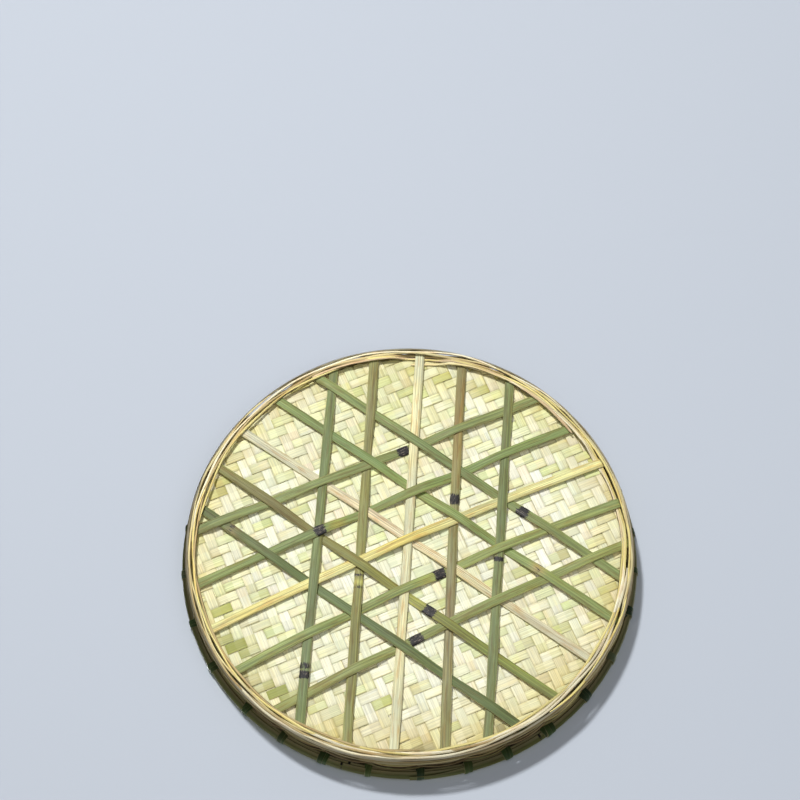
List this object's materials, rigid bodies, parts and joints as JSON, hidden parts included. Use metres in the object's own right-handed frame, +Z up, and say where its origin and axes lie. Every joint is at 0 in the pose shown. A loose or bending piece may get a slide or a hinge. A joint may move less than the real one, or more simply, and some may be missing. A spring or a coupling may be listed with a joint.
{
  "type": "winnowing basket",
  "caption": "Round shallow winnowing tray of woven split bamboo, with crossing ribs under the mat, a twined wall and a lashed rim.",
  "frame": {"origin": "centre of the foot, on the surface the basket stands on", "axes": "+Z up through the open top, the tray's own axis; +Y towards the end of the middle a ribs that the reference view shows at its top"},
  "size_m": [0.3994, 0.3996, 0.036],
  "materials": {
    "mat_splint": "matt split bamboo, inner face",
    "rib_green": "satin bamboo skin, green",
    "rib_olive": "satin bamboo skin, olive brown",
    "rib_pale": "matt split bamboo, pale",
    "rib_yellow": "satin split bamboo, yellow",
    "strand_pale": "satin split bamboo, pale yellow",
    "strand_straw": "matt split bamboo, straw",
    "strand_green": "satin bamboo skin, pale green",
    "hoop_green": "satin bamboo skin, dark olive green",
    "hoop_pale": "satin split bamboo, pale",
    "lashing_skin": "glossy bamboo skin, dark green"
  },
  "bodies": {
    "root": {"mat": "mat_splint", "rib_a1": "rib_green", "rib_a2": "rib_olive", "rib_a3": "rib_pale", "rib_a4": "rib_olive", "rib_a5": "rib_green", "rib_b1": "rib_green", "rib_b2": "rib_green", "rib_b3": "rib_pale", "rib_b4": "rib_olive", "rib_b5": "rib_green", "rib_c1": "rib_green", "rib_c2": "rib_green", "rib_c3": "rib_yellow", "rib_c4": "rib_green", "rib_c5": "rib_green", "foot_strand_1": "strand_pale", "foot_strand_2": "strand_pale", "foot_strand_3": "strand_pale", "wall_strand_1": "strand_straw", "wall_strand_2": "strand_green", "wall_strand_3": "strand_straw", "wall_strand_4": "strand_green", "wall_strand_5": "strand_straw", "rim_hoop_outer": "hoop_green", "rim_hoop_inner": "hoop_pale", "rim_filler": "strand_straw", "rim_lashings": "lashing_skin"}
  },
  "joints": []
}
